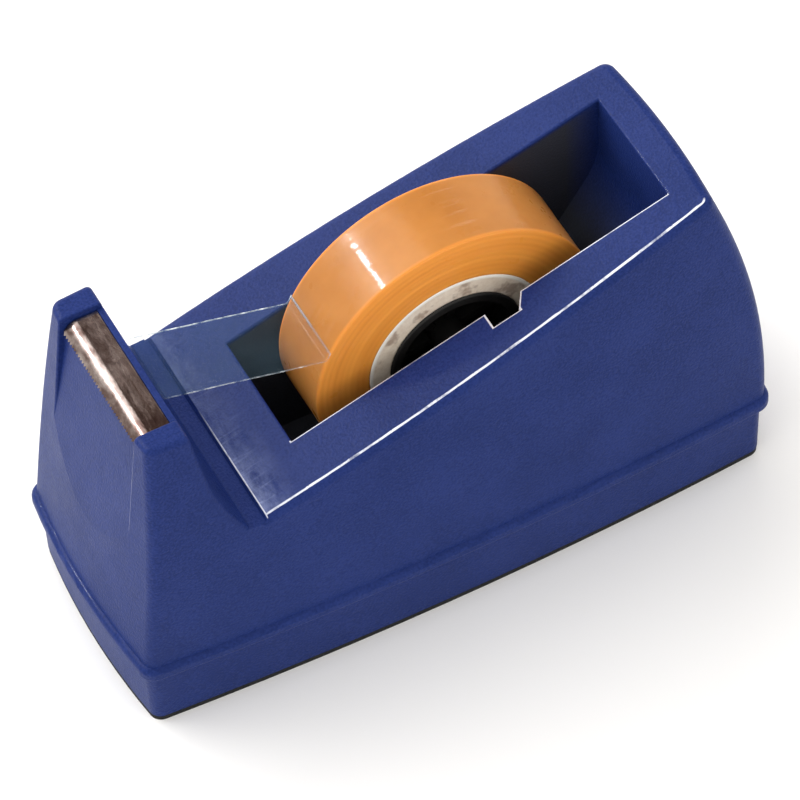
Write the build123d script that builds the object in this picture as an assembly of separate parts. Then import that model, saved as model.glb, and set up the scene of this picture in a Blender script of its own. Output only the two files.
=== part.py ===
from build123d import *
import os
from math import acos, atan2, cos, hypot, radians, sin, tan

# Desktop tape dispenser. Millimetres, +Z up, origin on the surface it stands on, below its centre.
# The nose with the cutter is at -X and the tape is wound about an axis along Y.

# ---- driving dimensions ------------------------------------------------------------------

HALF_LENGTH = 64.8        # shell, centre to end corner at the bead
HALF_WIDTH = 24.15        # shell, centre to side at an end corner, at the bead
END_BOW = 1.8             # how far the middle of an end stands out past its corners
SIDE_BOW = 2.35           # how far the middle of a side stands out past its corners
CORNER_R = 2.4            # upright corner rounding
WALL = 2.0                # shell thickness

GROUND_GAP = 1.3          # base edge above the desk, filled by the pad's rim
SEAM_Z = 14.6             # where the shell meets the base
BEAD_Z = 16.2             # height at which the plan sizes above are taken
BEAD_OUT = 0.9            # bead beyond the shell
BEAD_HEIGHT = 3.2

FRONT_DRAFT = 6.8         # degrees
SIDE_LEAN = [(47.0, 1.5), (82.0, 6.5)]    # height, and how far a side has leaned in by there

NOSE_TOP_Z = 73.4
NOSE_BACK_X = -50.6       # rear edge of the nose top
DECK_FRONT_X = -38.6
DECK_Z = 58.8             # deck height above the origin
DECK_SLOPE = 0.304
DECK_EDGE_R = 1.7
SCOOP_EDGE_R = 1.0
NOSE_EDGE_R = 1.2

ROLL_X, ROLL_Z = 8.3, 49.4
ROLL_R = 28.5
TAPE_WIDTH = 15.6
CORE_R = 17.8
CORE_BORE_R = 13.5

WELL_FRONT_X = -27.95
WELL_BACK_X = 49.5
WELL_HALF = 12.8
WELL_R = ROLL_R + 1.4     # curved well floor about the roll
WELL_WALL = 1.8
WELL_BEND_Z = 62.0        # the back wall is upright down to here
WELL_BEND_R = 16.0        # and then bends towards the roll
RIM_R = 0.45

SLOT_ANGLE = 25.0         # axle slots lean back from upright
SLOT_DEPTH = 3.4
SLOT_R = 1.98
MOUTH_LOW_Z = 58.0
MOUTH_BACK_X = 19.1       # back of the slots' wide mouth, at the well wall
MOUTH_TAPER = 2.2         # and how much shorter it is at its deep end
STUB_R = 1.9

BLADE_HALF = 14.7
BLADE_T = 0.5
BLADE_Z = 72.1            # top face of the blade
BLADE_BEND_X = -57.0      # where its front lip turns down
BLADE_BEND_R = 2.6
BLADE_LEAN = 48.0         # degrees below level
BLADE_LIP = 2.7
TOOTH_PITCH = 0.8
TOOTH_DEPTH = 0.5
BLADE_PLAY = 0.3          # between the blade's ends and the nose's cheeks

PANEL_TOP_X = -57.5       # flat panel sunk in the front below the blade
PANEL_FOOT_X = -62.3      # it meets the bowed front here, beside the cheeks
PANEL_FOOT_Z = 46.5
PANEL_LOW_Z = 30.0        # below its lowest point
CHEEK_R = 0.35
SCOOP_X = -44.0           # over the scoop, behind the nose

SCREW_SPOTS = [(sx * 49.0, sy * 15.5) for sx in (-1, 1) for sy in (-1, 1)]

TOP = 120.0               # above everything
FAR = 90.0                # outside everything


# ---- helpers -----------------------------------------------------------------------------

def flat_xz(*edges):
    """A face in the XZ plane from edges given as (x, z)."""
    curve = edges[0]
    for edge in edges[1:]:
        curve += edge
    return make_face(Plane.XZ * curve)


def polygon_xz(*points):
    return flat_xz(Polyline(*points, close=True))


def slab_y(face, half):
    """The face drawn out to both sides of the XZ plane."""
    return extrude(face, amount=half, both=True)


def box_between(low, high):
    size = [b - a for a, b in zip(low, high)]
    middle = [(a + b) / 2 for a, b in zip(low, high)]
    return Pos(*middle) * Box(*size)


def bow_radius(half_chord, rise):
    return (half_chord ** 2 + rise ** 2) / (2 * rise)


END_R = bow_radius(HALF_WIDTH, END_BOW)
SIDE_R = bow_radius(HALF_LENGTH, SIDE_BOW)


def deck_z(x):
    return DECK_Z + DECK_SLOPE * x


def turned(face, x, y):
    """The face, whose first coordinate is a radius, turned about the upright line at x, y."""
    return Pos(x, y, 0) * revolve(face, Axis.Z)


def bowed_block(length, width, low, high, draft=0.0, inset=0.0, side=None, back=None):
    """A block with four bowed sides. length and width are half sizes at the corners at BEAD_Z.

    Its faces lean in by draft degrees, but side and back can give the side and rear profiles.
    """
    front_r = END_R - inset
    side_r = SIDE_R - inset
    slope = tan(radians(draft))

    def cone(radius):
        bottom = radius - slope * (low - BEAD_Z)
        top = radius - slope * (high - BEAD_Z)
        return polygon_xz((0, low), (bottom, low), (top, high), (0, high))

    end_x = END_R - length - END_BOW
    side_y = SIDE_R - width - SIDE_BOW
    rear = back(end_x, inset) if back else cone(front_r)
    flank = side(side_r) if side else cone(side_r)
    block = turned(cone(front_r), end_x, 0)
    block &= turned(rear, -end_x, 0)
    block &= turned(flank, 0, side_y)
    block &= turned(flank, 0, -side_y)
    return block


def upright_edges(block, least):
    """The corner edges of a block, told from the others by how far they climb."""
    return [e for e in block.edges() if e.bounding_box().size.Z > least]


# ---- shell -------------------------------------------------------------------------------

def back_profile(axis_offset, inset):
    """Half section of the rear, whose face curves forward as it climbs."""
    def at(x, z):
        return (x + END_BOW + axis_offset - inset, z)
    foot, belly, brow = at(HALF_LENGTH, BEAD_Z), at(61.1, 54.0), at(51.7, 82.0)
    rest = Polyline(brow, (0, brow[1]), (0, SEAM_Z - 6), (foot[0], SEAM_Z - 6), foot)
    return flat_xz(ThreePointArc(foot, belly, brow), rest)


def side_profile(radius):
    """Half section of a side, upright at the bead and leaning in more and more above it."""
    foot = (radius, BEAD_Z)
    knee, brow = [(radius - lean, z) for z, lean in SIDE_LEAN]
    low = SEAM_Z - 6
    arc = ThreePointArc(foot, knee, brow)
    return flat_xz(arc, Polyline(brow, (brow[0] - 2, TOP), (0, TOP), (0, low), (radius, low), foot))


def deck_profile(inset=0.0):
    """Everything under the deck plane, from the side."""
    low = SEAM_Z - 6
    return polygon_xz((-FAR, low), (-FAR, deck_z(-FAR) - inset), (FAR, deck_z(FAR) - inset), (FAR, low))


def scoop_profile(inset=0.0):
    """The gap between nose and deck, from the side, open upwards."""
    top = (NOSE_BACK_X - inset, NOSE_TOP_Z - inset)
    waist = (top[0] + 1.7, 63.0 - inset)
    floor = deck_z(DECK_FRONT_X) - 0.9 - inset
    foot = (DECK_FRONT_X - 3.6 - inset, floor)
    lip = (DECK_FRONT_X, deck_z(DECK_FRONT_X) - inset)
    fall = Vector(waist[0] - top[0], waist[1] - top[1])
    return flat_xz(
        Polyline((lip[0], TOP), (top[0] - (TOP - top[1]) * 0.1, TOP), top, waist),
        TangentArc(waist, foot, tangent=fall),
        Polyline(foot, (DECK_FRONT_X - 0.5, floor), lip, (lip[0], TOP)),
    )


def shell_block(inset=0.0, low=SEAM_Z):
    block = bowed_block(HALF_LENGTH, HALF_WIDTH, low, 81.5, FRONT_DRAFT, inset,
                        side_profile, back_profile)
    return fillet(upright_edges(block, 40), CORNER_R - inset * 0.7)


def well_profile(grow=0.0):
    """The tape well from the side: steep front, floor round the roll, back wall bent to meet it."""
    radius, bend = WELL_R + grow, WELL_BEND_R + grow
    front, back = WELL_FRONT_X - grow, WELL_BACK_X + grow
    floor = ROLL_Z - radius
    bend_x = WELL_BACK_X - WELL_BEND_R
    across, up = bend_x - ROLL_X, WELL_BEND_Z - ROLL_Z
    turn = acos((radius - bend) / hypot(across, up)) - atan2(up, across)
    low_turn = (turn + radians(90)) / 2

    def on_bend(angle):
        return (bend_x + bend * cos(angle), WELL_BEND_Z - bend * sin(angle))

    def round_roll(angle):
        return (ROLL_X + radius * cos(angle), ROLL_Z - radius * sin(angle))
    return flat_xz(
        Polyline((ROLL_X, floor), (front, floor), (front, TOP), (back, TOP), on_bend(0)),
        ThreePointArc(on_bend(0), on_bend(turn / 2), on_bend(turn)),
        Polyline(on_bend(turn), round_roll(turn)),
        ThreePointArc(round_roll(turn), round_roll(low_turn), (ROLL_X, floor)),
    )


def slot_profile():
    """The axle slot from the side: a round seat and a leaning channel, open upwards."""
    lean = radians(SLOT_ANGLE)

    def along(distance, side=0.0):
        return (ROLL_X + distance * sin(lean) + side * cos(lean),
                ROLL_Z + distance * cos(lean) - side * sin(lean))
    return flat_xz(
        ThreePointArc(along(0, -SLOT_R), along(-SLOT_R), along(0, SLOT_R)),
        Polyline(along(0, SLOT_R), along(60, SLOT_R), along(60, -SLOT_R), along(0, -SLOT_R)),
    )


def slot_mouth():
    """The wider top of both slots, whose back side runs aslant to the deep end."""
    front, reach = ROLL_X + 1.5, WELL_HALF + SLOT_DEPTH
    plan = Polyline((front, -reach), (MOUTH_BACK_X - MOUTH_TAPER, -reach), (MOUTH_BACK_X, -WELL_HALF),
                    (MOUTH_BACK_X, WELL_HALF), (MOUTH_BACK_X - MOUTH_TAPER, reach), (front, reach),
                    close=True)
    block = Pos(0, 0, MOUTH_LOW_Z) * extrude(make_face(plan), amount=TOP - MOUTH_LOW_Z)
    lean = radians(SLOT_ANGLE)
    side = (ROLL_X - SLOT_R * cos(lean), ROLL_Z + SLOT_R * sin(lean))
    crown = (side[0] + (TOP - side[1]) * tan(lean), TOP)
    behind = polygon_xz(side, crown, (FAR, TOP), (FAR, side[1]))
    return block & slab_y(behind, reach)


def panel_x(z):
    """Where the sunken front panel stands at a height."""
    lean = (PANEL_TOP_X - PANEL_FOOT_X) / (BLADE_Z - PANEL_FOOT_Z)
    return PANEL_FOOT_X + (z - PANEL_FOOT_Z) * lean


def blade_recess(grow=0.0):
    """The step in the nose top that the cutter lies in, with the flat panel sunk in the front below it."""
    half = BLADE_HALF + BLADE_PLAY + grow
    bed_z = BLADE_Z - BLADE_T - grow
    bed = box_between((-FAR, -half, bed_z), (NOSE_BACK_X - 1.0 + grow, half, TOP))
    above = box_between((-FAR, -half, BLADE_Z), (SCOOP_X, half, TOP))
    top_x = PANEL_TOP_X + grow
    panel = polygon_xz((panel_x(PANEL_LOW_Z) + grow, PANEL_LOW_Z), (top_x, BLADE_Z), (top_x, TOP),
                       (-FAR, TOP), (-FAR, PANEL_LOW_Z))
    return bed + above + slab_y(panel, half)


def under_lip():
    """The slope that the cutter's front lip lies along."""
    slant = tan(radians(BLADE_LEAN))
    knee = (BLADE_BEND_X + BLADE_T * tan(radians(BLADE_LEAN / 2)) + 0.02, BLADE_Z - BLADE_T)
    run = 1.5
    cut = polygon_xz(knee, (knee[0] - run, knee[1] - run * slant), (-FAR, knee[1] - run * slant),
                     (-FAR, TOP), (knee[0], TOP))
    return slab_y(cut, BLADE_HALF + BLADE_PLAY)


def nose_and_deck(block, inset=0.0, deck_r=0.0, nose_r=0.0):
    """The block cut down to a sloping deck with the nose standing at its front."""
    deck = block & slab_y(deck_profile(inset), 60)
    low = deck_z(DECK_FRONT_X) - 12
    nose = block & box_between((-FAR, -60, low), (DECK_FRONT_X - 1.0 - inset, 60, NOSE_TOP_Z - inset))
    if deck_r:
        deck = fillet([e for e in deck.edges() if on_deck_rim(e)], deck_r)
    if nose_r:
        nose = fillet([e for e in nose.edges() if on_nose_rim(e)], nose_r)
    return deck + nose - slab_y(scoop_profile(inset), 60)


def outer_shell():
    """The outside of the shell with its rounded edges."""
    body = nose_and_deck(shell_block(), 0.0, DECK_EDGE_R, NOSE_EDGE_R)
    return fillet([e for e in body.edges() if on_scoop_side(e)], SCOOP_EDGE_R)


def on_deck_rim(edge):
    start, middle = edge @ 0, edge @ 0.5
    return all(abs(p.Z - deck_z(p.X)) < 0.01 for p in (start, middle))


def on_nose_rim(edge):
    """The front and side edges of the nose top, before the scoop is cut."""
    box = edge.bounding_box()
    return box.min.Z > NOSE_TOP_Z - 0.01 and box.min.X < DECK_FRONT_X - 1.2


def on_scoop_side(edge):
    middle = edge @ 0.5
    box = edge.bounding_box()
    return (abs(middle.Y) > 17 and box.min.X > NOSE_BACK_X - 1 and middle.X < -43
            and box.size.Z > 5 and box.size.Y < 4 and middle.Z < NOSE_TOP_Z - 1)


def on_cheek(edge):
    """The edges where the nose's cheeks meet the front face, beside the sunken panel."""
    box = edge.bounding_box()
    return abs(abs((edge @ 0.5).Y) - BLADE_HALF - BLADE_PLAY) < 0.01 and on_front(box)


def on_front(box):
    return box.size.Z > 20 and box.size.Y < 0.1 and box.max.X < PANEL_TOP_X - 1.0


def on_well_rim(edge):
    """Edges where the well and its slots break through the deck."""
    points = [edge @ t for t in (0.0, 0.5, 1.0)]
    inside = all(abs(p.Y) < WELL_HALF + SLOT_DEPTH + 0.1 for p in points)
    behind = all(WELL_FRONT_X - 0.1 < p.X < WELL_BACK_X + 0.1 for p in points)
    return inside and behind and all(abs(p.Z - deck_z(p.X)) < 0.01 for p in points)


def bead():
    """The rounded rib that runs round the shell's lower edge."""
    rib = bowed_block(HALF_LENGTH + BEAD_OUT, HALF_WIDTH + BEAD_OUT, SEAM_Z, SEAM_Z + BEAD_HEIGHT)
    rib = fillet(upright_edges(rib, 2), CORNER_R + BEAD_OUT)
    top = rib.faces().sort_by(Axis.Z)[-1].edges()
    rib = fillet(top, 1.3)
    bottom = rib.faces().sort_by(Axis.Z)[0].edges()
    return fillet(bottom, 0.8)


def cavity():
    """The hollow inside the shell, open below."""
    hollow = nose_and_deck(shell_block(WALL, SEAM_Z - 4), WALL) - blade_recess(WALL)
    return hollow - (slab_y(well_profile(WELL_WALL), WELL_HALF + WELL_WALL) + slot_blocks())


def slot_blocks():
    """Solid pads outside the well walls that the axle slots are sunk in."""
    reach = WELL_HALF + SLOT_DEPTH + WELL_WALL
    return box_between((1.0, -reach, ROLL_Z - 6.0), (MOUTH_BACK_X + 2.0, reach, TOP))


def shell_boss(spot):
    """A post inside the shell that takes one screw."""
    top, fin_low = 30.0, SEAM_Z + 3.4
    post = Pos(*spot, (SEAM_Z + top) / 2) * Cylinder(3.6, top - SEAM_Z)
    fins = Pos(*spot, (fin_low + top) / 2) * Box(1.4, 16.0, top - fin_low)
    return post + fins


def upper_housing():
    shell = outer_shell() + bead()
    shell -= cavity()
    inner_limit = nose_and_deck(shell_block(WALL * 0.5), WALL * 0.5)
    for spot in SCREW_SPOTS:
        shell += shell_boss(spot) & inner_limit
    shell -= slab_y(well_profile(), WELL_HALF)
    shell -= slab_y(slot_profile(), WELL_HALF + SLOT_DEPTH)
    shell -= slot_mouth()
    shell = fillet([e for e in shell.edges() if on_well_rim(e)], RIM_R)
    for spot in SCREW_SPOTS:
        shell -= Pos(*spot, SEAM_Z + 7.0) * Cylinder(1.5, 14.0)
    shell -= blade_recess()
    shell = fillet([e for e in shell.edges() if on_cheek(e)], CHEEK_R)
    shell -= under_lip()
    return shell


# ---- base --------------------------------------------------------------------------------

BASE_IN = 0.55            # base inside the shell's lower outline
BASE_DRAFT = -0.9         # degrees, widening upwards
FLOOR_Z = 3.4
PAD_TOP = 2.0
PAD_RIM_IN = 0.1          # pad's rim inside the base's lower edge
ADHESIVE_T = 0.15
PAD_PLAY = 0.25           # round the pad in its recess


def base_block(inset=0.0, low=GROUND_GAP, high=SEAM_Z, corner=CORNER_R):
    block = bowed_block(HALF_LENGTH - BASE_IN, HALF_WIDTH - BASE_IN, low, high,
                        BASE_DRAFT, inset)
    return fillet(upright_edges(block, 0.3), corner)


def base_tray():
    tray = base_block()
    tray -= base_block(WALL, FLOOR_Z, SEAM_Z + 1, 1.4)
    tongue = base_block(WALL + 0.3, FLOOR_Z - 0.2, SEAM_Z + 2.6, 1.2)
    tongue -= base_block(WALL + 1.6, FLOOR_Z - 1, SEAM_Z + 4, 0.8)
    tray += tongue
    for sx, sy in SCREW_SPOTS:
        tray += Pos(sx, sy, (FLOOR_Z + SEAM_Z) / 2) * Cylinder(4.4, SEAM_Z - FLOOR_Z + 0.4)
    tray -= pad_outline(PAD_TOP - GROUND_GAP + 1.0, GROUND_GAP - 1.0, PAD_PLAY)
    for spot in SCREW_SPOTS:
        tray -= Pos(*spot, PAD_TOP + 1.1) * Cylinder(3.1, 4.2)
        tray -= Pos(*spot, 10.0) * Cylinder(1.65, 20.0)
        tray -= Pos(*spot, SEAM_Z + 2.0) * Cylinder(4.6, 4.0)
    for side in (-1, 1):
        tray += box_between((-30, side * 19.4 - 0.7, FLOOR_Z - 0.3), (32, side * 19.4 + 0.7, 9.0))
        stop = box_between((side * 41.5 - 0.8, -12, FLOOR_Z - 0.3), (side * 41.5 + 0.8, 12, 11.0))
        tray += stop
    return tray


def pad_outline(height, low, grow=0.0):
    block = bowed_block(HALF_LENGTH - 3.6 + grow, HALF_WIDTH - 3.4 + grow, low, low + height)
    return fillet(upright_edges(block, height * 0.5), 4.0)


def nonslip_pad():
    """A foam rubber sheet in the base's recess, with a rim that covers the base's lower edge."""
    rim = base_block(PAD_RIM_IN, 0.0, GROUND_GAP)
    return rim + pad_outline(PAD_TOP - ADHESIVE_T, 0.0)


def pad_adhesive():
    return pad_outline(ADHESIVE_T, PAD_TOP - ADHESIVE_T)


def ballast_block():
    block = box_between((-40.5, -18.4, FLOOR_Z), (40.5, 18.4, 12.4))
    block = fillet(block.edges().filter_by(Axis.Z), 3.0)
    return chamfer(block.faces().sort_by(Axis.Z)[-1].edges(), 1.0)


def ballast_foam():
    under_well = ROLL_Z - WELL_R - WELL_WALL
    return box_between((-22, -10, 12.4), (6, 10, under_well - 0.05))


def base_screw(spot):
    head_low = PAD_TOP + 0.3
    head = Pos(*spot, head_low + 0.9) * Cylinder(2.8, 1.8)
    head = fillet(head.faces().sort_by(Axis.Z)[0].edges(), 0.8)
    for turn in (0, 90):
        head -= Pos(*spot, head_low + 0.4) * Rot(0, 0, turn) * Box(3.0, 0.6, 1.2)
    shank_low = head_low + 1.8
    shank = Pos(*spot, shank_low + 7.0) * Cylinder(1.42, 14.0)
    tip = Pos(*spot, shank_low + 14.0 + 1.2) * Cone(1.42, 0.3, 2.4)
    return head + shank + tip


def base_screws():
    return Compound(children=[base_screw(spot) for spot in SCREW_SPOTS])


# ---- cutter ------------------------------------------------------------------------------

def cutter_blade():
    """A pressed steel strip: a flat that the tape lies on, bent down at the front to teeth."""
    back = NOSE_BACK_X - 1.15
    top = BLADE_Z
    bend = (BLADE_BEND_X, top)
    lean = radians(BLADE_LEAN)
    tip = (bend[0] - BLADE_LIP * cos(lean), bend[1] - BLADE_LIP * sin(lean))
    offset = (-BLADE_T * sin(lean), BLADE_T * cos(lean))
    mitre = BLADE_T * tan(lean / 2)
    outline = polygon_xz((back, top - BLADE_T), (back, top), bend, tip,
                         (tip[0] - offset[0], tip[1] - offset[1]),
                         (bend[0] + mitre, top - BLADE_T))
    strip = slab_y(outline, BLADE_HALF)
    strip -= teeth_cutter(tip, lean)
    crest = [e for e in strip.edges() if abs((e @ 0.5).X - bend[0]) < 0.01 and (e @ 0.5).Z > top - 0.01
             and e.length > 5]
    return fillet(crest, BLADE_BEND_R)


def teeth_cutter(tip, lean):
    """Notches between the teeth, cut square through the bent lip."""
    out = (-cos(lean), 0, -sin(lean))
    plane = Plane(origin=(tip[0], 0, tip[1]), x_dir=(0, 1, 0), z_dir=(-sin(lean), 0, cos(lean)))
    sign = 1 if plane.y_dir.dot(Vector(*out)) > 0 else -1
    count = int(2 * BLADE_HALF / TOOTH_PITCH)
    start = -count * TOOTH_PITCH / 2
    points = []
    for tooth in range(count):
        left = start + tooth * TOOTH_PITCH
        points += [(left, -sign * TOOTH_DEPTH), (left + TOOTH_PITCH / 2, 0.0)]
    points.append((start + count * TOOTH_PITCH, -sign * TOOTH_DEPTH))
    edge = [(BLADE_HALF + 1, -sign * TOOTH_DEPTH), (BLADE_HALF + 1, sign * 2.0)]
    far = [(-BLADE_HALF - 1, sign * 2.0), (-BLADE_HALF - 1, -sign * TOOTH_DEPTH)]
    comb = make_face(Polyline(*points, *edge, *far, close=True))
    return extrude(plane * comb, amount=2.0, both=True)


# ---- reel --------------------------------------------------------------------------------

DRUM_R = CORE_BORE_R - 0.08
DRUM_HALF = TAPE_WIDTH / 2 + 0.4
DRUM_WALL = 1.8
WEB_HALF = 1.2            # the disc across the middle of the drum
RIB_INSET = 4.5           # the ribs stop this far inside the drum's ends
BOSS_R = 3.4


def along_y(radius, half):
    return Pos(ROLL_X, 0, ROLL_Z) * Rot(90, 0, 0) * Cylinder(radius, 2 * half)


def hub():
    """A moulded drum with hollow ends, ribs down inside them and an axle stub on each side."""
    drum = along_y(DRUM_R, DRUM_HALF)
    drum = fillet(drum.edges().filter_by(GeomType.CIRCLE), 0.5)
    hollow = along_y(DRUM_R - DRUM_WALL, 40) - along_y(DRUM_R, WEB_HALF)
    drum -= hollow
    rib_half = DRUM_HALF - RIB_INSET
    bore = along_y(DRUM_R - DRUM_WALL / 2, rib_half)
    for turn in range(6):
        rib = Rot(0, 60 * turn + 15, 0) * Pos(0, 0, DRUM_R / 2) * Box(1.6, 2 * rib_half, DRUM_R)
        drum += (Pos(ROLL_X, 0, ROLL_Z) * rib) & bore
    boss = along_y(BOSS_R, WELL_HALF - 0.6)
    boss = chamfer(boss.edges().filter_by(GeomType.CIRCLE), 0.4)
    stub = along_y(STUB_R, WELL_HALF + SLOT_DEPTH - 0.4)
    stub = chamfer(stub.edges().filter_by(GeomType.CIRCLE), 0.4)
    return drum + boss + stub


def tape_core():
    ring = along_y(CORE_R, TAPE_WIDTH / 2) - along_y(CORE_BORE_R, 40)
    return chamfer(ring.edges().filter_by(GeomType.CIRCLE), 0.25)


def tape_roll():
    ring = along_y(ROLL_R, TAPE_WIDTH / 2) - along_y(CORE_R, 40)
    rims = [e for e in ring.edges().filter_by(GeomType.CIRCLE) if e.radius > ROLL_R - 1]
    return fillet(rims, 0.3)


STRIP_T = 0.12
PEEL_ANGLE = 155.7        # where it leaves the roll, from +X
STRIP_GAP = 0.05          # between it and the roll
STRIP_REST = (0.75, 70.3) # behind the nose: how far, and the height at which it turns up
STRIP_END = (0.3, 71.9)


def tape_strip():
    """The free end of the tape, from where it peels off the roll to the back of the nose."""
    radius, angle = ROLL_R + STRIP_GAP, radians(PEEL_ANGLE)
    peel = (ROLL_X + radius * cos(angle), ROLL_Z + radius * sin(angle))
    rest, end = [(NOSE_BACK_X + behind, z) for behind, z in (STRIP_REST, STRIP_END)]
    film = polygon_xz(peel, rest, end, (end[0] + STRIP_T, end[1]),
                      (rest[0] + STRIP_T, rest[1] + STRIP_T), (peel[0], peel[1] + STRIP_T))
    return slab_y(film, TAPE_WIDTH / 2)


PARTS = {
    "upper_housing": upper_housing,
    "base_tray": base_tray,
    "ballast_block": ballast_block,
    "ballast_foam": ballast_foam,
    "base_screws": base_screws,
    "nonslip_pad": nonslip_pad,
    "pad_adhesive": pad_adhesive,
    "cutter_blade": cutter_blade,
    "hub": hub,
    "tape_core": tape_core,
    "tape_roll": tape_roll,
    "tape_strip": tape_strip,
}

os.makedirs("parts", exist_ok=True)
for name, make in PARTS.items():
    solid = make()
    export_step(solid, f"parts/{name}.step")
    box = solid.bounding_box()
    print(f"{name:14s} {solid.volume:10.1f} mm3  x {box.min.X:.2f}..{box.max.X:.2f}"
          f"  y {box.min.Y:.2f}..{box.max.Y:.2f}  z {box.min.Z:.2f}..{box.max.Z:.2f}")
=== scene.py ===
import math

import bpy
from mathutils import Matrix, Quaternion, Vector
from mathutils.noise import noise as lattice_noise


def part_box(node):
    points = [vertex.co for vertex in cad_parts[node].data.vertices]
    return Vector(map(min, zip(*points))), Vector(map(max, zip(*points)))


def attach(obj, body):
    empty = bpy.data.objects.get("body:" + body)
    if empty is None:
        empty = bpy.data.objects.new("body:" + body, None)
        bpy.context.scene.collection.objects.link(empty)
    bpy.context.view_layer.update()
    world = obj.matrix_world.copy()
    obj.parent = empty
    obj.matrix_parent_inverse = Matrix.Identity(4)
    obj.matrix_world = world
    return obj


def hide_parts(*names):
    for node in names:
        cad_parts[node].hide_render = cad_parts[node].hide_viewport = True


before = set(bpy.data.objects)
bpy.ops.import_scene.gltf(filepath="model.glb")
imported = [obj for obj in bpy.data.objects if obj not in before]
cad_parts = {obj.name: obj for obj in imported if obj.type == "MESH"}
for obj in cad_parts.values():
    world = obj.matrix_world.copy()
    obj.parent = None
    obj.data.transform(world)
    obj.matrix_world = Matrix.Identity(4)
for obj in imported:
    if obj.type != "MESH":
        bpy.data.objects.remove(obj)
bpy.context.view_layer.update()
MM = 0.001

# ---- sizes, most of them from the frame ---------------------------------------------------

ROLL_LOW, ROLL_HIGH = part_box("tape_roll")
CORE_LOW, CORE_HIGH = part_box("tape_core")
HUB_LOW, HUB_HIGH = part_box("hub")
STRIP_LOW, STRIP_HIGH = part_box("tape_strip")
BLADE_LOW, BLADE_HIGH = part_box("cutter_blade")
AXLE = (ROLL_LOW + ROLL_HIGH) / 2
ROLL_R = (ROLL_HIGH.z - ROLL_LOW.z) / 2
CORE_R = (CORE_HIGH.z - CORE_LOW.z) / 2
HUB_PLAY = 0.06 * MM
BORE_R = (HUB_HIGH.z - HUB_LOW.z) / 2 + HUB_PLAY
TAPE_HALF = ROLL_HIGH.y
FILM_ON_ROLL = 0.07    # radians of the free film that still lie on the roll

# ---- the camera ---------------------------------------------------------------------------

CAMERA_AZIMUTH = -25.652
CAMERA_ELEVATION = 52.051
CAMERA_ROLL = 2.949
CAMERA_DISTANCE = 1.06248
CAMERA_LENS = 252.716
CAMERA_TARGET = (0.00626, 0.01275, 0.01188)


def direction(azimuth, elevation):
    """From the object towards a viewer or lamp; azimuth 0 is on the -Y side, 90 on the +X side."""
    a, e = math.radians(azimuth), math.radians(elevation)
    return Vector((math.sin(a) * math.cos(e), -math.cos(a) * math.cos(e), math.sin(e)))


def make_camera():
    """A long lens at the photograph's viewing angle."""
    back = direction(CAMERA_AZIMUTH, CAMERA_ELEVATION)
    data = bpy.data.cameras.new("camera")
    data.lens = CAMERA_LENS
    data.clip_start, data.clip_end = 0.01, 20.0
    camera = bpy.data.objects.new("camera", data)
    bpy.context.scene.collection.objects.link(camera)
    turn = (-back).to_track_quat("-Z", "Y")
    camera.rotation_mode = "QUATERNION"
    camera.rotation_quaternion = Quaternion(back, math.radians(-CAMERA_ROLL)) @ turn
    camera.location = Vector(CAMERA_TARGET) + back * CAMERA_DISTANCE
    bpy.context.scene.camera = camera


# ---- material helpers ---------------------------------------------------------------------

MIX_COLOURS = slice(6, 8)    # a Mix node has A, B and Result once for each type; these are for colours
MIX_RESULT = 2


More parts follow.
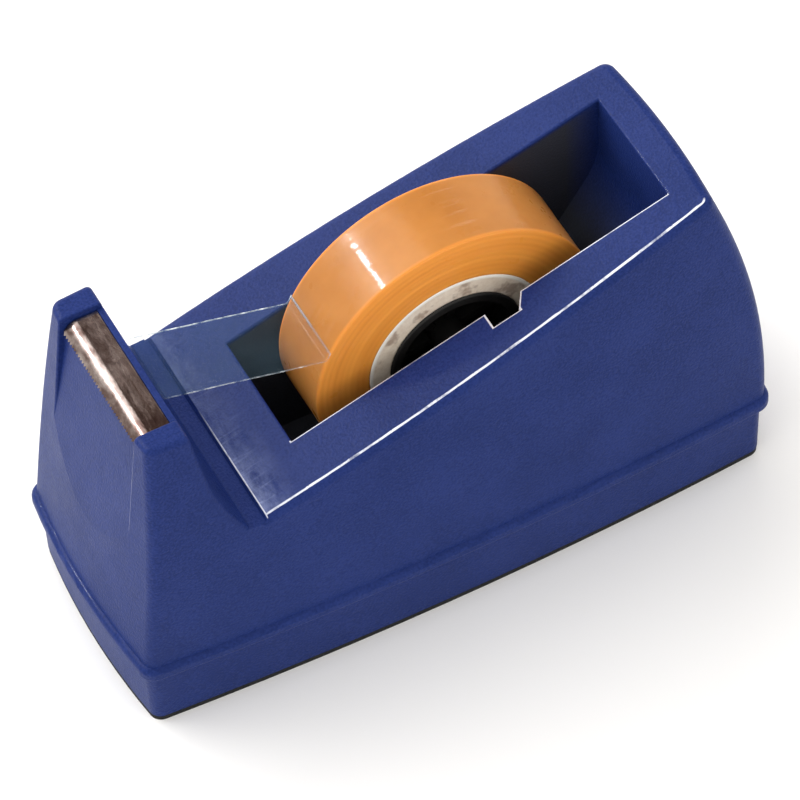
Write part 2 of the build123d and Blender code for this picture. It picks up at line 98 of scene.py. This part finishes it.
class Shader:
    """A material's node tree, with short ways to add the nodes used here."""

    def __init__(self, name):
        self.material = bpy.data.materials.new(name)
        self.material.use_nodes = True
        self.nodes = self.material.node_tree.nodes
        self.links = self.material.node_tree.links
        self.main = self.nodes["Principled BSDF"]
        self.where = self.nodes.new("ShaderNodeTexCoord").outputs["Object"]

    def set(self, **values):
        for name, value in values.items():
            self.main.inputs[name.replace("_", " ")].default_value = value

    def feed(self, socket, output):
        self.links.new(output, self.main.inputs[socket])

    def stretch(self, scale, turn=(0, 0, 0)):
        node = self.nodes.new("ShaderNodeMapping")
        node.inputs["Scale"].default_value = scale
        node.inputs["Rotation"].default_value = turn
        self.links.new(self.where, node.inputs["Vector"])
        return node.outputs["Vector"]

    def noise(self, scale, detail=2.0, rough=0.5, vector=None):
        node = self.nodes.new("ShaderNodeTexNoise")
        node.inputs["Scale"].default_value = scale
        node.inputs["Detail"].default_value = detail
        node.inputs["Roughness"].default_value = rough
        self.links.new(vector or self.where, node.inputs["Vector"])
        return node.outputs["Fac"]

    def cells(self, scale):
        node = self.nodes.new("ShaderNodeTexVoronoi")
        node.inputs["Scale"].default_value = scale
        self.links.new(self.where, node.inputs["Vector"])
        return node.outputs["Distance"]

    def axis(self, name):
        node = self.nodes.new("ShaderNodeSeparateXYZ")
        self.links.new(self.where, node.inputs["Vector"])
        return node.outputs[name]

    def math(self, kind, a, b=None):
        node = self.nodes.new("ShaderNodeMath")
        node.operation = kind
        for socket, value in zip(node.inputs, (a, b)):
            if isinstance(value, (int, float)):
                socket.default_value = value
            elif value is not None:
                self.links.new(value, socket)
        return node.outputs["Value"]

    def span(self, value, low, high, new_low=0.0, new_high=1.0):
        """value taken from low..high to new_low..new_high, and held at the ends."""
        node = self.nodes.new("ShaderNodeMapRange")
        names = ("From Min", "From Max", "To Min", "To Max")
        for name, number in zip(names, (low, high, new_low, new_high)):
            node.inputs[name].default_value = number
        self.links.new(value, node.inputs["Value"])
        return node.outputs["Result"]

    def ramp(self, value, low, high):
        """A colour between two stops, each of them a place on the ramp and its colour."""
        node = self.nodes.new("ShaderNodeValToRGB")
        for element, (place, colour) in zip(node.color_ramp.elements, (low, high)):
            element.position = place
            element.color = (*colour, 1)
        self.links.new(value, node.inputs["Fac"])
        return node.outputs["Color"]

    def mix(self, share, a, b):
        node = self.nodes.new("ShaderNodeMix")
        node.data_type = "RGBA"
        self.links.new(share, node.inputs["Factor"])
        for socket, value in zip(node.inputs[MIX_COLOURS], (a, b)):
            if isinstance(value, tuple):
                socket.default_value = (*value, 1)
            else:
                self.links.new(value, socket)
        return node.outputs[MIX_RESULT]

    def bump(self, height, strength, distance, normal=None):
        node = self.nodes.new("ShaderNodeBump")
        node.inputs["Strength"].default_value = strength
        node.inputs["Distance"].default_value = distance
        self.links.new(height, node.inputs["Height"])
        if normal is not None:
            self.links.new(normal, node.inputs["Normal"])
        return node.outputs["Normal"]

    def radius(self):
        """Distance from the reel's axle."""
        across = self.math("SUBTRACT", self.axis("X"), AXLE.x)
        up = self.math("SUBTRACT", self.axis("Z"), AXLE.z)
        return self.math("SQRT", self.math("ADD", self.math("POWER", across, 2.0),
                                           self.math("POWER", up, 2.0)))


# ---- materials ----------------------------------------------------------------------------

BLUE_DARK = (0.0080, 0.0205, 0.112)
BLUE_LIGHT = (0.0160, 0.0330, 0.160)
# lighter blue of the deck's front wear and painted sheen
WORN_AND_SHEEN_BLUE = (0.26, 0.31, 0.54)
# near white of the painted highlights along the housing's near edges
HIGHLIGHT_WHITE = (0.80, 0.83, 0.92)
# dark grey of the painted shade inside the well
WELL_SHADE_GREY = (0.045, 0.047, 0.045)

# The housing's painted highlights, painted shade and wear follow its deck, well and nose. These sizes
# repeat the CAD's.
DECK_FRONT_X = -0.0386
DECK_HEIGHT = 0.0588    # at x = 0
DECK_SLOPE = 0.304
WELL_FRONT_X = -0.02795
WELL_BACK_X = 0.0495
WELL_HALF = 0.0128
BLADE_PLAY = 0.3 * MM
CHEEK_Y = BLADE_HIGH.y + BLADE_PLAY    # the nose has a cheek at each end of the cutter

# The painted edge highlights, and the deck's wear and painted sheen, grow from the first y to the
# second, towards the near side.
DECK_EDGE_Y = (-0.0178, -0.0185)
DECK_FRONT_Y = (0.004, -0.008)
WEAR_AND_SHEEN_Y = (0.004, -0.021)

CHEEK_LINE_Z = (0.0500, 0.0695)
BLUR = 0.1 * MM         # how far a mark fades beyond its limits
FINE_BLUR = 0.02 * MM


def within(s, value, low, high, blur):
    """1 where value is between low and high, fading over blur outside them."""
    return s.math("MULTIPLY", s.span(value, low - blur, low), s.span(value, high + blur, high))


def deck_height(s):
    """Height over the sloping deck, which is 0 on it and negative under it."""
    rise = s.math("MULTIPLY", s.axis("X"), DECK_SLOPE)
    return s.math("SUBTRACT", s.axis("Z"), s.math("ADD", rise, DECK_HEIGHT))


def painted_edge_highlights(s):
    """Painted highlights: thin, slightly broken white lines along the near edges of the well, the deck
    and the nose.
    """
    height = deck_height(s)
    x, y = s.axis("X"), s.axis("Y")
    broken = s.span(s.noise(170.0, detail=4.0, rough=0.7), 0.30, 0.48)

    # a painted highlight along the well's near rim
    well_top = within(s, height, -0.42 * MM, -0.02 * MM, FINE_BLUR)
    well_side = within(s, y, -WELL_HALF - 4.0 * MM, -WELL_HALF + 0.1 * MM, BLUR)
    along_well = within(s, x, WELL_FRONT_X - 0.5 * MM, WELL_BACK_X, BLUR)
    well = s.math("MULTIPLY", s.math("MULTIPLY", well_top, well_side), along_well)

    deck_top = within(s, height, -0.12 * MM, -0.04 * MM, FINE_BLUR)
    along_deck = within(s, x, DECK_FRONT_X, WELL_BACK_X + 5.5 * MM, BLUR)
    deck = s.math("MULTIPLY", s.math("MULTIPLY", deck_top, s.span(y, *DECK_EDGE_Y)), along_deck)

    # a painted highlight along the deck's front edge
    edge = within(s, x, DECK_FRONT_X - 0.08 * MM, DECK_FRONT_X + 0.08 * MM, 0.05 * MM)
    above = s.span(height, -0.5 * MM, -0.3 * MM)
    front = s.math("MULTIPLY", edge, s.math("MULTIPLY", above, s.span(y, *DECK_FRONT_Y)))

    # a painted highlight streak down the near cheek of the nose
    line = within(s, y, -CHEEK_Y - 0.26 * MM, -CHEEK_Y - 0.08 * MM, 0.08 * MM)
    upright = s.math("MULTIPLY", line, within(s, s.axis("Z"), *CHEEK_LINE_Z, 2.0 * MM))
    faint = s.span(x, BLADE_LOW.x + 0.9 * MM, BLADE_LOW.x + 0.7 * MM, 0.0, 0.4)
    cheek = s.math("MULTIPLY", upright, faint)

    edges = s.math("MAXIMUM", s.math("MAXIMUM", well, deck), cheek)
    return s.math("MULTIPLY", s.math("MAXIMUM", edges, front), broken)


def deck_wear_and_sheen(s):
    """Fine scratches on the deck just behind its front edge, where the tape is pulled, and a painted
    hazy sheen there, stronger towards the near side.
    """
    lip = s.span(s.axis("X"), DECK_FRONT_X + 8.0 * MM, DECK_FRONT_X + 0.3 * MM)
    behind = s.span(s.axis("X"), DECK_FRONT_X - 0.1 * MM, DECK_FRONT_X)
    lip = s.math("MULTIPLY", s.math("POWER", lip, 1.6), behind)
    near = s.span(s.axis("Y"), *WEAR_AND_SHEEN_Y, 0.25, 1.0)
    on_top = within(s, deck_height(s), -0.05 * MM, 0.05 * MM, 0.05 * MM)
    clouds = s.noise(260.0, detail=5.0, rough=0.75, vector=s.stretch((1.0, 0.45, 1.0)))
    lengthwise = s.stretch((0.10, 1.0, 0.10), turn=(0.0, 0.0, 0.35))
    streaks = s.noise(700.0, detail=3.0, rough=0.7, vector=lengthwise)
    # the hazy clouds are a painted sheen; the streaks are fine scratches
    haze = s.span(clouds, 0.36, 0.66)
    marks = s.math("ADD", haze, s.span(streaks, 0.58, 0.72, 0.0, 0.6))
    return s.math("MULTIPLY", s.math("MULTIPLY", marks, on_top), s.math("MULTIPLY", lip, near))


def well_painted_shade(s):
    """Painted shade inside the well: a dark grey in the colour, thinning towards its back wall."""
    inside = within(s, s.axis("Y"), -WELL_HALF - 0.2 * MM, WELL_HALF + 0.2 * MM, BLUR)
    deep = s.span(deck_height(s), -0.4 * MM, -1.2 * MM)
    from_front = s.span(s.axis("X"), WELL_FRONT_X - 0.3 * MM, WELL_FRONT_X - 0.1 * MM)
    to_back = s.span(s.axis("X"), WELL_BACK_X - 0.4 * MM, WELL_BACK_X - 7.0 * MM)
    along = s.math("MULTIPLY", from_front, to_back)
    return s.math("MULTIPLY", s.math("MULTIPLY", inside, deep), along)


def moulded_blue(name):
    """Blue plastic with an even, spark-eroded grain. Returns the shader and its colour.

    Its index of refraction is lower than the real plastic's, to hold down the pale gloss at grazing
    angles, which the photograph doesn't show.
    """
    s = Shader(name)
    grain = s.noise(2100.0, detail=2.0, rough=0.6)
    clouds = s.noise(55.0, detail=5.0, rough=0.6)
    tone = s.math("ADD", s.math("MULTIPLY", clouds, 0.35), s.math("MULTIPLY", grain, 0.65))
    colour = s.ramp(tone, (0.40, BLUE_DARK), (0.60, BLUE_LIGHT))
    s.feed("Base Color", colour)
    s.feed("Roughness", s.span(s.noise(190.0, detail=5.0, rough=0.65), 0.3, 0.7, 0.38, 0.46))
    s.feed("Normal", s.bump(grain, strength=0.6, distance=0.22 * MM))
    s.set(IOR=1.22, Specular_IOR_Level=0.3, Coat_Weight=0.04, Coat_Roughness=0.08, Coat_IOR=1.5)
    return s, colour


def base_blue():
    s, _ = moulded_blue("base_blue")
    return s.material


def housing_blue():
    """The same plastic with its dust, wear and white lines painted over the colour."""
    s, colour = moulded_blue("housing_blue")
    # painted shade inside the well, darker deeper down
    well_shaded = s.mix(s.math("MULTIPLY", well_painted_shade(s), 0.85), colour, WELL_SHADE_GREY)
    # wear and a painted sheen behind the deck's front edge
    worn_and_sheened = s.mix(s.math("MULTIPLY", deck_wear_and_sheen(s), 0.8), well_shaded, WORN_AND_SHEEN_BLUE)
    # painted highlights over the colour, along the near edges
    s.feed("Base Color", s.mix(painted_edge_highlights(s), worn_and_sheened, HIGHLIGHT_WHITE))
    return s.material


def black_plastic():
    s = Shader("hub_black")
    clouds = s.noise(120.0, detail=4.0)
    s.feed("Base Color", s.ramp(clouds, (0.35, (0.006, 0.006, 0.006)), (0.7, (0.012, 0.011, 0.011))))
    s.feed("Roughness", s.span(s.noise(400.0, detail=4.0), 0.3, 0.7, 0.45, 0.62))
    s.feed("Normal", s.bump(s.noise(2600.0, detail=3.0), strength=0.25, distance=0.08 * MM))
    s.set(IOR=1.48, Specular_IOR_Level=0.35)
    return s.material


def amber_tape():
    """Wound film: the outer turn is smooth, and the cut edges are lighter and finely ringed."""
    s = Shader("amber_tape")
    side = s.span(s.math("ABSOLUTE", s.axis("Y")), TAPE_HALF - 0.9 * MM, TAPE_HALF - 0.1 * MM)
    radius = s.radius()
    clouds = s.noise(60.0, detail=4.0, rough=0.6)
    tread = s.ramp(clouds, (0.3, (0.43, 0.165, 0.036)), (0.7, (0.57, 0.235, 0.058)))
    faint = s.noise(40.0, detail=3.0, rough=0.6)
    fine = s.math("SINE", s.math("MULTIPLY", radius, 5200.0))
    wavy = s.math("ADD", s.math("MULTIPLY", radius, 1350.0), s.math("MULTIPLY", faint, 5.0))
    slow = s.math("SINE", wavy)
    rings = s.math("ADD", s.math("MULTIPLY", fine, 0.22), s.math("MULTIPLY", slow, 0.3))
    edge_light, edge_dark = (0.84, 0.325, 0.056), (0.74, 0.265, 0.042)
    edge = s.ramp(s.span(rings, -0.6, 0.6), (0.0, edge_dark), (1.0, edge_light))
    s.feed("Base Color", s.mix(side, tread, edge))
    wave = s.noise(150.0, detail=2.0, rough=0.5, vector=s.stretch((0.3, 4.5, 0.3)))
    s.feed("Coat Normal", s.bump(wave, strength=1.0, distance=0.24 * MM))
    uneven = s.bump(wave, strength=0.3, distance=0.1 * MM)
    ringed = s.math("MULTIPLY", rings, side)
    s.feed("Normal", s.bump(ringed, strength=0.25, distance=0.1 * MM, normal=uneven))
    s.feed("Roughness", s.span(s.noise(260.0, detail=4.0), 0.3, 0.7, 0.26, 0.36))
    s.set(IOR=1.47, Specular_IOR_Level=0.12, Coat_Weight=0.24, Coat_Roughness=0.04, Coat_IOR=1.45)
    s.set(Subsurface_Weight=0.22, Subsurface_Scale=0.0016, Subsurface_Radius=(1.0, 0.45, 0.12))
    return s.material


def core_board():
    """Pale pressed ring, blotched with brown except at its outer rim, which has a painted highlight."""
    s = Shader("core_board")
    fibre = s.noise(700.0, detail=5.0, rough=0.7)
    pale = s.ramp(fibre, (0.3, (0.70, 0.58, 0.46)), (0.7, (0.86, 0.76, 0.64)))
    patches = s.span(s.noise(230.0, detail=3.0, rough=0.6), 0.56, 0.66)
    inner = s.span(s.radius(), CORE_R - 0.5 * MM, CORE_R - 1.1 * MM)
    # brown blotches over all but the outer rim
    brown_blotches = s.math("MULTIPLY", s.math("MULTIPLY", patches, inner), 0.6)
    with_blotches = s.mix(brown_blotches, pale, (0.20, 0.105, 0.07))
    # a painted highlight: the ring's outer rim near white
    rim_highlight = s.span(s.radius(), CORE_R - 0.9 * MM, CORE_R - 0.5 * MM)
    s.feed("Base Color", s.mix(rim_highlight, with_blotches, (0.93, 0.89, 0.82)))
    s.feed("Roughness", s.span(fibre, 0.3, 0.7, 0.42, 0.6))
    s.feed("Normal", s.bump(fibre, strength=0.3, distance=0.12 * MM))
    s.set(IOR=1.48, Specular_IOR_Level=0.4, Coat_Weight=0.15, Coat_Roughness=0.2)
    return s.material


def peel_angle():
    """Angle about the axle, up from +X, at which the film leaves the roll: the CAD strip's low end."""
    return math.atan2(STRIP_LOW.z - AXLE.z, STRIP_HIGH.x - AXLE.x)


def clear_film():
    """Clear tape, nearly invisible, with painted glints: broken white lines on its edges and its end on
    the roll.
    """
    s = Shader("clear_film")
    out = s.math("ABSOLUTE", s.axis("Y"))
    edge = s.span(out, TAPE_HALF - 0.40 * MM, TAPE_HALF - 0.15 * MM)
    same_across = s.stretch((1.0, 0.0, 1.0))
    dashes = s.span(s.noise(420.0, detail=3.0, rough=0.6, vector=same_across), 0.36, 0.66)
    end_x = AXLE.x + ROLL_R * math.cos(peel_angle() - FILM_ON_ROLL)
    end = s.span(s.axis("X"), end_x - 0.35 * MM, end_x - 0.15 * MM, 0.0, 0.55)
    # painted glints along the film's edges and at its end on the roll
    painted_glints = s.math("MULTIPLY", s.math("MAXIMUM", edge, end), dashes)
    haze = s.span(s.noise(160.0, detail=4.0, rough=0.6), 0.3, 0.7, 0.02, 0.05)
    # the painted glints are stronger on the far side
    far_glints_brighter = s.span(s.axis("Y"), -1.0 * MM, 1.0 * MM, 0.35, 0.85)
    s.feed("Alpha", s.math("ADD", haze, s.math("MULTIPLY", painted_glints, far_glints_brighter)))
    s.feed("Base Color", s.mix(painted_glints, (0.14, 0.26, 0.36), (0.9, 0.93, 0.97)))
    s.feed("Roughness", s.span(s.noise(300.0, detail=3.0), 0.3, 0.7, 0.08, 0.16))
    s.feed("Normal", s.bump(s.noise(240.0, detail=3.0, rough=0.6), strength=0.2, distance=0.2 * MM))
    s.set(IOR=1.45, Specular_IOR_Level=0.4)
    return s.material


def blade_steel():
    """Pressed strip with rolling lines along its length; its colour is blotched dark brown, a painted
    dark reflection.
    """
    s = Shader("blade_steel")
    lines = s.noise(900.0, detail=3.0, rough=0.6, vector=s.stretch((1.0, 0.06, 1.0)))
    painted_reflection_blots = s.noise(150.0, detail=4.0, rough=0.65, vector=s.stretch((1.0, 0.6, 1.0)))
    # dark brown blots in the steel's colour: a painted dark reflection
    s.feed("Base Color", s.ramp(painted_reflection_blots, (0.38, (0.12, 0.08, 0.07)), (0.62, (0.50, 0.43, 0.40))))
    s.feed("Roughness", s.span(lines, 0.3, 0.7, 0.17, 0.27))
    rolled = s.bump(lines, strength=0.2, distance=0.06 * MM)
    s.feed("Normal", s.bump(painted_reflection_blots, strength=0.4, distance=0.4 * MM, normal=rolled))
    s.set(Metallic=1.0)
    return s.material


def zinc_steel():
    s = Shader("zinc_steel")
    spangle = s.noise(500.0, detail=4.0)
    s.feed("Base Color", s.ramp(spangle, (0.3, (0.48, 0.47, 0.42)), (0.7, (0.62, 0.61, 0.57))))
    s.feed("Roughness", s.span(s.noise(900.0, detail=3.0), 0.3, 0.7, 0.28, 0.42))
    s.set(Metallic=1.0)
    return s.material


def cast_iron():
    s = Shader("cast_iron")
    lumps = s.noise(700.0, detail=5.0, rough=0.7)
    s.feed("Base Color", s.ramp(lumps, (0.3, (0.05, 0.05, 0.052)), (0.75, (0.11, 0.105, 0.10))))
    s.feed("Roughness", s.span(lumps, 0.3, 0.7, 0.62, 0.8))
    s.feed("Normal", s.bump(lumps, strength=0.6, distance=0.3 * MM))
    s.set(Metallic=0.7)
    return s.material


def foam_rubber(name, dark, light, pore_scale):
    """Closed-cell foam with small open pores where it was cut."""
    s = Shader(name)
    pores = s.cells(pore_scale)
    s.feed("Base Color", s.ramp(pores, (0.1, dark), (0.5, light)))
    s.feed("Roughness", s.span(s.noise(600.0, detail=3.0), 0.3, 0.7, 0.82, 0.95))
    uneven = s.bump(s.noise(90.0, detail=3.0), strength=0.3, distance=0.3 * MM)
    s.feed("Normal", s.bump(pores, strength=0.6, distance=0.2 * MM, normal=uneven))
    s.set(Specular_IOR_Level=0.25)
    return s.material


def tape_backing():
    s = Shader("tape_backing")
    clouds = s.noise(300.0, detail=4.0)
    s.feed("Base Color", s.ramp(clouds, (0.3, (0.55, 0.50, 0.38)), (0.7, (0.66, 0.61, 0.48))))
    s.feed("Roughness", s.span(s.noise(500.0, detail=3.0), 0.3, 0.7, 0.5, 0.7))
    s.feed("Normal", s.bump(s.noise(1500.0, detail=3.0), strength=0.3, distance=0.08 * MM))
    return s.material


def dress(node, material):
    """Give a CAD node its material."""
    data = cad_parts[node].data
    data.materials.clear()
    data.materials.append(material)


# ---- pieces -------------------------------------------------------------------------------

def add_piece(name, verts, faces, material, body, replaced):
    mesh = bpy.data.meshes.new(name)
    mesh.from_pydata(verts, [], faces)
    mesh.polygons.foreach_set("use_smooth", [True] * len(mesh.polygons))
    mesh.materials.append(material)
    mesh.update()
    piece = bpy.data.objects.new(name, mesh)
    bpy.context.scene.collection.objects.link(piece)
    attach(piece, body)
    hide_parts(replaced)


def smooth_noise(*place):
    return lattice_noise(Vector(place))


def ring_grid(profile, turns, shape):
    """A closed profile of (radius, y) swept round the axle. shape moves each point a little."""
    verts, faces = [], []
    count = len(profile)
    for turn in range(turns):
        angle = 2 * math.pi * turn / turns
        for radius, y in profile:
            radius, y = shape(radius, y, angle)
            verts.append((AXLE.x + radius * math.cos(angle), y, AXLE.z + radius * math.sin(angle)))
    for turn in range(turns):
        here, there = turn * count, (turn + 1) % turns * count
        for step in range(count):
            after = (step + 1) % count
            faces.append((here + step, here + after, there + after, there + step))
    return verts, faces


CORNER_STEPS = 6


def rounded_ring(inner, outer, half, corner, side_steps, face_steps):
    """Profile of a ring: outer face, side, bore and side again, with rounded outer corners."""
    profile = []
    for step in range(face_steps + 1):
        profile.append((outer, -(half - corner) + 2 * (half - corner) * step / face_steps))
    for sign in (1, -1):
        side = []
        for step in range(1, CORNER_STEPS):
            turn = math.radians(90 * step / CORNER_STEPS)
            radius = outer - corner * (1 - math.cos(turn))
            side.append((radius, sign * (half - corner * (1 - math.sin(turn)))))
        for step in range(side_steps + 1):
            side.append((outer - corner - (outer - corner - inner) * step / side_steps, sign * half))
        profile += side if sign > 0 else side[::-1]
    return profile


def pushed_in(y, depth):
    """y moved inwards by depth at the tape's sides, and hardly at all between them."""
    return y - math.copysign(depth * min(1.0, abs(y) / TAPE_HALF) ** 12, y)


def make_roll(material):
    """The wound tape. Its turns don't line up perfectly, so its sides are slightly stepped."""
    tread_skin = 0.05 * MM
    tread_dip = 0.035 * MM

    def shape(radius, y, angle):
        around = (math.cos(angle) * 2.2, math.sin(angle) * 2.2)
        if radius > ROLL_R - tread_skin:
            radius -= tread_dip * (1 + smooth_noise(*around, y / (3.5 * MM)))
        depth = 0.05 * (1 + smooth_noise(radius / (1.1 * MM), 0.4 * around[0], 0.4 * around[1]))
        depth += 0.025 * (1 + smooth_noise(radius / (0.28 * MM), around[0], 7.0))
        return radius, pushed_in(y, depth * MM)
    profile = rounded_ring(CORE_R, ROLL_R, TAPE_HALF, corner=0.45 * MM, side_steps=44, face_steps=20)
    verts, faces = ring_grid(profile, turns=288, shape=shape)
    add_piece("wound_tape", verts, faces, material, "reel", "tape_roll")


def make_core(material):
    """The ring that the tape is wound on, with softened edges."""
    def shape(radius, y, angle):
        around = (math.cos(angle) * 3, math.sin(angle) * 3)
        depth = 0.03 * (1 + smooth_noise(radius / (0.8 * MM), *around))
        return radius, pushed_in(y, depth * MM)
    profile = rounded_ring(BORE_R, CORE_R, TAPE_HALF, corner=0.3 * MM, side_steps=12, face_steps=4)
    verts, faces = ring_grid(profile, turns=192, shape=shape)
    add_piece("core_ring", verts, faces, material, "reel", "tape_core")


def rounded_path(points, cuts, run_steps, bend_steps):
    """Straight runs between (x, z) points, joined by parabolas that start cuts before each corner."""
    path = []
    start = points[0]
    for corner, after, cut in zip(points[1:], points[2:], cuts):
        into = (corner - start).normalized()
        out = (after - corner).normalized()
        begin, end = corner - into * cut, corner + out * cut
        path += [start.lerp(begin, step / run_steps) for step in range(run_steps)]
        for step in range(bend_steps):
            t = step / bend_steps
            path.append(begin.lerp(corner, t).lerp(corner.lerp(end, t), t))
        start = end
    path += [start.lerp(points[-1], step / run_steps) for step in range(run_steps + 1)]
    return path


FILM_THICK = 0.05 * MM
FILM_COLUMNS = 16


def film_path():
    """The film's line as (x, z) points: up behind the nose, back to the peel line and over the roll."""
    top = Vector((STRIP_LOW.x + 0.1 * MM, STRIP_HIGH.z))
    rest = Vector((STRIP_LOW.x + 0.5 * MM, STRIP_HIGH.z - 1.6 * MM))
    corners = [top, rest]
    out = ROLL_R + FILM_THICK
    for angle in (peel_angle(), peel_angle() - FILM_ON_ROLL):
        corners.append(Vector((AXLE.x + out * math.cos(angle), AXLE.z + out * math.sin(angle))))
    return rounded_path(corners, cuts=[0.9 * MM, 0.6 * MM], run_steps=26, bend_steps=7)


def film_skins(path):
    """Points of the upper and the lower skin, row by row, rippled and curled where the film is free."""
    length = sum((b - a).length for a, b in zip(path, path[1:]))
    upper, lower = [], []
    travelled = 0.0
    for index, point in enumerate(path):
        ahead = path[min(index + 1, len(path) - 1)] - path[max(index - 1, 0)]
        normal = Vector((ahead.y, -ahead.x)).normalized()
        normal = normal if normal.y > 0 else -normal
        if index:
            travelled += (point - path[index - 1]).length
        along = travelled / length
        loose = math.sin(math.pi * min(1.0, along * 1.02)) ** 0.5
        for column in range(FILM_COLUMNS + 1):
            across = 2 * column / FILM_COLUMNS - 1
            ripple = 0.10 * smooth_noise(along * 9.0, across * 1.4, 3.1)
            ripple += 0.05 * smooth_noise(along * 30.0, across * 3.0, 8.4)
            curl = 0.22 * abs(across) ** 3 * (1 - along)
            lift = (ripple + curl) * loose * MM
            for skin, drop in ((upper, 0.0), (lower, FILM_THICK)):
                place = point + normal * (lift - drop)
                skin.append((place.x, across * TAPE_HALF, place.y))
    return upper, lower


def film_faces(rows):
    """Faces of both skins, and of the rim that joins them all round."""
    wide = FILM_COLUMNS + 1
    below = rows * wide
    faces = []
    for row in range(rows - 1):
        for column in range(FILM_COLUMNS):
            a = row * wide + column
            quad = (a, a + 1, a + wide + 1, a + wide)
            faces.append(quad)
            faces.append(tuple(below + v for v in reversed(quad)))
    rim = [row * wide for row in range(rows)]
    rim += [(rows - 1) * wide + column for column in range(1, wide)]
    rim += [row * wide + FILM_COLUMNS for row in range(rows - 2, -1, -1)]
    rim += list(range(FILM_COLUMNS - 1, 0, -1))
    for a, b in zip(rim, rim[1:] + rim[:1]):
        faces.append((a, b, below + b, below + a))
    return faces


def make_film(material):
    """The free end of the tape, from behind the nose to the roll."""
    path = film_path()
    upper, lower = film_skins(path)
    faces = film_faces(len(path))
    add_piece("free_film", upper + lower, faces, material, "tape_end", "tape_strip")


# ---- stage --------------------------------------------------------------------------------

LAMP_TARGET = Vector((0, 0, 0.04))


def area_light(name, azimuth, elevation, distance, size, power, colour=(1, 1, 1)):
    """A lamp that faces the object; azimuth and elevation as in direction()."""
    way = direction(azimuth, elevation)
    data = bpy.data.lights.new(name, "AREA")
    data.shape = "RECTANGLE"
    data.size, data.size_y = size
    data.energy = power
    data.color = colour
    lamp = bpy.data.objects.new(name, data)
    lamp.location = LAMP_TARGET + way * distance
    lamp.rotation_euler = (-way).to_track_quat("-Z", "Y").to_euler()
    bpy.context.scene.collection.objects.link(lamp)
    return lamp


TENT_COLOUR = (1.13, 1.11, 1.07, 1)
OPENING_COLOUR = (0.16, 0.10, 0.08, 1)
OPENING = (0.30, 0.53, 0.79)    # the way towards the opening
OPENING_EDGE = 0.915            # cosine of the angle off that way at which the opening begins
OPENING_CORE = 0.965            # and at which it is dimmest


def make_world():
    """An even pale tent with one dim opening high up behind the object, which darkens the cutter."""
    world = bpy.data.worlds.new("world")
    bpy.context.scene.world = world
    world.use_nodes = True
    nodes, links = world.node_tree.nodes, world.node_tree.links
    coords = nodes.new("ShaderNodeTexCoord")
    toward = nodes.new("ShaderNodeVectorMath")
    toward.operation = "DOT_PRODUCT"
    toward.inputs[1].default_value = OPENING
    links.new(coords.outputs["Generated"], toward.inputs[0])
    ramp = nodes.new("ShaderNodeValToRGB")
    tent, opening = ramp.color_ramp.elements
    tent.position, tent.color = OPENING_EDGE, TENT_COLOUR
    opening.position, opening.color = OPENING_CORE, OPENING_COLOUR
    links.new(toward.outputs["Value"], ramp.inputs["Fac"])
    links.new(ramp.outputs["Color"], nodes["Background"].inputs["Color"])
    nodes["Background"].inputs["Strength"].default_value = 1.0


def make_floor():
    """A large card of a plain pale colour."""
    half = 3.0
    corners = [(-half, -half, 0), (half, -half, 0), (half, half, 0), (-half, half, 0)]
    mesh = bpy.data.meshes.new("floor")
    mesh.from_pydata(corners, [], [(0, 1, 2, 3)])
    floor = bpy.data.objects.new("floor", mesh)
    bpy.context.scene.collection.objects.link(floor)
    s = Shader("floor_card")
    clouds = s.noise(8.0, detail=3.0)
    s.feed("Base Color", s.ramp(clouds, (0.3, (0.95, 0.945, 0.94)), (0.7, (0.96, 0.955, 0.95))))
    s.set(Roughness=0.9, Specular_IOR_Level=0.1)
    mesh.materials.append(s.material)


def make_stage():
    """The floor, the tent and its lamps, two of which light only gloss or only matt colour."""
    make_world()
    make_floor()
    glint = area_light("glint", azimuth=-137.0, elevation=41.5, distance=1.1, size=(0.05, 0.07),
                       power=5.5)
    glint.visible_diffuse = False
    area_light("soft_panel", azimuth=-143.5, elevation=46.5, distance=1.2, size=(1.0, 1.0), power=7.5)
    area_light("back_strip", azimuth=176.0, elevation=30.0, distance=1.2, size=(1.5, 0.46), power=5.0)
    front = area_light("front_panel", azimuth=-82.0, elevation=28.0, distance=1.2, size=(0.8, 0.6),
                       power=1.3, colour=(0.85, 0.9, 1.0))
    front.visible_glossy = False


# ---- build --------------------------------------------------------------------------------

make_camera()
make_stage()
dress("upper_housing", housing_blue())
dress("base_tray", base_blue())
dress("hub", black_plastic())
dress("cutter_blade", blade_steel())
dress("base_screws", zinc_steel())
dress("ballast_block", cast_iron())
dress("ballast_foam", foam_rubber("packing_foam", (0.05, 0.05, 0.05), (0.12, 0.12, 0.12),
                                  pore_scale=900.0))
dress("nonslip_pad", foam_rubber("pad_rubber", (0.006, 0.006, 0.006), (0.016, 0.016, 0.016),
                                 pore_scale=1400.0))
dress("pad_adhesive", tape_backing())
make_roll(amber_tape())
make_core(core_board())
make_film(clear_film())
bpy.context.scene.view_settings.view_transform = "Standard"
